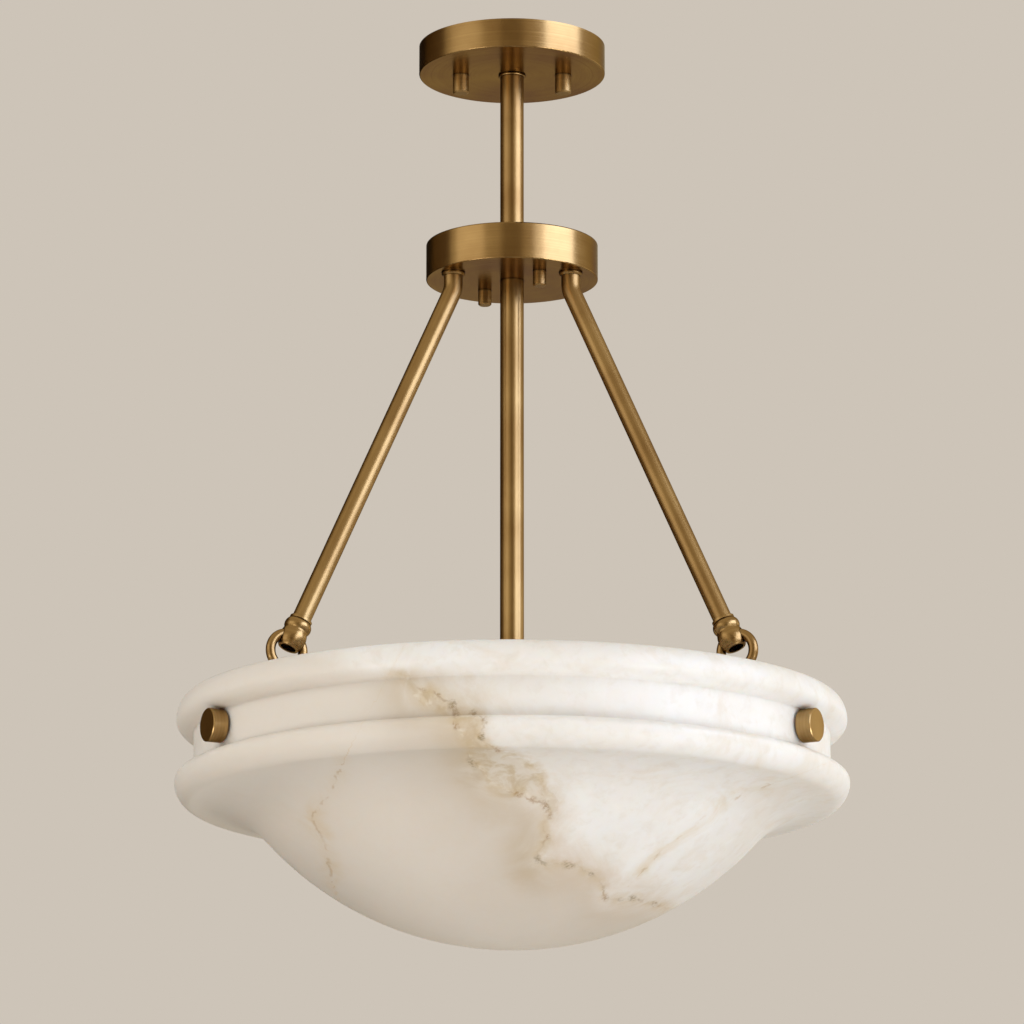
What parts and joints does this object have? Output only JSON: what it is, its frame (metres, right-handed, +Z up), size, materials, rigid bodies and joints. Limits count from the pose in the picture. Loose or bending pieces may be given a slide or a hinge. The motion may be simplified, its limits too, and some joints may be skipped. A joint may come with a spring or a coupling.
{
  "type": "alabaster semi flush ceiling light",
  "caption": "Alabaster bowl with two rounded lips, hung by rings from angled brass arms under a hub, stem and round ceiling canopy.",
  "frame": {"origin": "on the ceiling plane, on the stem's axis, at the middle of the two ceiling box screws", "axes": "+Z up along the stem into the ceiling, +X to the right in the front view, along the strap and the two canopy cap nuts"},
  "size_m": [0.4475, 0.4476, 0.6203],
  "materials": {
    "aged_brass": "satin",
    "alabaster": "satin",
    "zinc_steel": "satin",
    "porcelain": "satin",
    "gasket_rubber": "matte",
    "opal_glass": "satin",
    "bulb_metal": "satin",
    "screw_shell_brass": "satin"
  },
  "bodies": {
    "fixture": {"arm_1": "aged_brass", "arm_2": "aged_brass", "arm_3": "aged_brass", "arm_collar_1": "aged_brass", "arm_collar_2": "aged_brass", "arm_collar_3": "aged_brass", "arm_locknuts": "zinc_steel", "arm_nipples": "zinc_steel", "canopy": "aged_brass", "canopy_collar": "aged_brass", "canopy_locknut": "zinc_steel", "canopy_nipple": "zinc_steel", "ceiling_crossbar": "zinc_steel", "cluster_body": "aged_brass", "cluster_cap_nut": "aged_brass", "cluster_nipple": "zinc_steel", "crossbar_studs": "zinc_steel", "ground_screw": "zinc_steel", "hub_body": "aged_brass", "hub_cover": "aged_brass", "hub_lower_locknut": "zinc_steel", "hub_nipple": "zinc_steel", "hub_studs": "zinc_steel", "hub_top_collar": "aged_brass", "hub_upper_locknut": "zinc_steel", "lamp_socket_1": "porcelain", "lamp_socket_2": "porcelain", "lamp_socket_3": "porcelain", "loop_cup_1": "aged_brass", "loop_cup_2": "aged_brass", "loop_cup_3": "aged_brass", "lower_stem": "aged_brass", "socket_contacts": "screw_shell_brass", "socket_nipples": "zinc_steel", "socket_shells": "screw_shell_brass", "upper_stem": "aged_brass"},
    "bowl": {"alabaster_bowl": "alabaster", "hanger_bracket_1": "aged_brass", "hanger_bracket_2": "aged_brass", "hanger_bracket_3": "aged_brass", "bracket_bolts": "zinc_steel", "bracket_pads": "gasket_rubber", "knob_gaskets": "gasket_rubber"},
    "ring_1": {"suspension_ring_1": "aged_brass"},
    "ring_2": {"suspension_ring_2": "aged_brass"},
    "ring_3": {"suspension_ring_3": "aged_brass"},
    "knob_1": {"bowl_knob_1": "aged_brass"},
    "knob_2": {"bowl_knob_2": "aged_brass"},
    "knob_3": {"bowl_knob_3": "aged_brass"},
    "canopy_nut_1": {"canopy_cap_nut_1": "aged_brass"},
    "canopy_nut_2": {"canopy_cap_nut_2": "aged_brass"},
    "hub_nut_1": {"hub_cap_nut_1": "aged_brass"},
    "hub_nut_2": {"hub_cap_nut_2": "aged_brass"},
    "bulb_1": {"bulb_base_1": "bulb_metal", "bulb_glass_1": "opal_glass"},
    "bulb_2": {"bulb_base_2": "bulb_metal", "bulb_glass_2": "opal_glass"},
    "bulb_3": {"bulb_base_3": "bulb_metal", "bulb_glass_3": "opal_glass"}
  },
  "joints": [
    {"name": "bowl_twist", "type": "hinge", "parent": "fixture", "child": "bowl", "pos_m": [0, 0, -0.44916], "axis": [0, 0, 1], "range_deg": [-1.25, 1.25], "stiffness_Nm_per_rad": 165},
    {"name": "ring_1_swing", "type": "hinge", "parent": "fixture", "child": "ring_1", "pos_m": [0, 0.1629, -0.4304], "axis": [0, 0.9059, 0.4235], "range_deg": [-11.5, 11.5]},
    {"name": "ring_2_swing", "type": "hinge", "parent": "fixture", "child": "ring_2", "pos_m": [-0.14383, -0.07648, -0.4304], "axis": [-0.7998, -0.4253, 0.4235], "range_deg": [-11.5, 11.5]},
    {"name": "ring_3_swing", "type": "hinge", "parent": "fixture", "child": "ring_3", "pos_m": [0.14383, -0.07648, -0.4304], "axis": [0.7998, -0.4253, 0.4235], "range_deg": [-11.5, 11.5]},
    {"name": "knob_1_turn", "type": "hinge", "parent": "bowl", "child": "knob_1", "pos_m": [0, 0.215, -0.49151], "axis": [0, 1, 0], "continuous": true},
    {"name": "knob_2_turn", "type": "hinge", "parent": "bowl", "child": "knob_2", "pos_m": [-0.18983, -0.10094, -0.49151], "axis": [-0.8829, -0.4695, 0], "continuous": true},
    {"name": "knob_3_turn", "type": "hinge", "parent": "bowl", "child": "knob_3", "pos_m": [0.18983, -0.10094, -0.49151], "axis": [0.8829, -0.4695, 0], "continuous": true},
    {"name": "canopy_nut_1_turn", "type": "hinge", "parent": "fixture", "child": "canopy_nut_1", "pos_m": [-0.03492, 0, -0.025], "axis": [0, 0, 1], "continuous": true},
    {"name": "canopy_nut_2_turn", "type": "hinge", "parent": "fixture", "child": "canopy_nut_2", "pos_m": [0.03492, 0, -0.025], "axis": [0, 0, 1], "continuous": true},
    {"name": "hub_nut_1_turn", "type": "hinge", "parent": "fixture", "child": "hub_nut_1", "pos_m": [-0.01854, 0.0246, -0.1708], "axis": [0, 0, 1], "continuous": true},
    {"name": "hub_nut_2_turn", "type": "hinge", "parent": "fixture", "child": "hub_nut_2", "pos_m": [0.01854, -0.0246, -0.1708], "axis": [0, 0, 1], "continuous": true},
    {"name": "bulb_1_turn", "type": "hinge", "parent": "fixture", "child": "bulb_1", "pos_m": [0.0433, 0.025, -0.51], "axis": [0.866, 0.5, 0], "continuous": true},
    {"name": "bulb_2_turn", "type": "hinge", "parent": "fixture", "child": "bulb_2", "pos_m": [-0.0433, 0.025, -0.51], "axis": [-0.866, 0.5, 0], "continuous": true},
    {"name": "bulb_3_turn", "type": "hinge", "parent": "fixture", "child": "bulb_3", "pos_m": [0, -0.05, -0.51], "axis": [0, -1, 0], "continuous": true}
  ],
  "couplings": [
    {"joint": "ring_1_swing", "follows": "bowl_twist", "ratio": 9.0311},
    {"joint": "ring_2_swing", "follows": "bowl_twist", "ratio": 9.0311},
    {"joint": "ring_3_swing", "follows": "bowl_twist", "ratio": 9.0311}
  ]
}
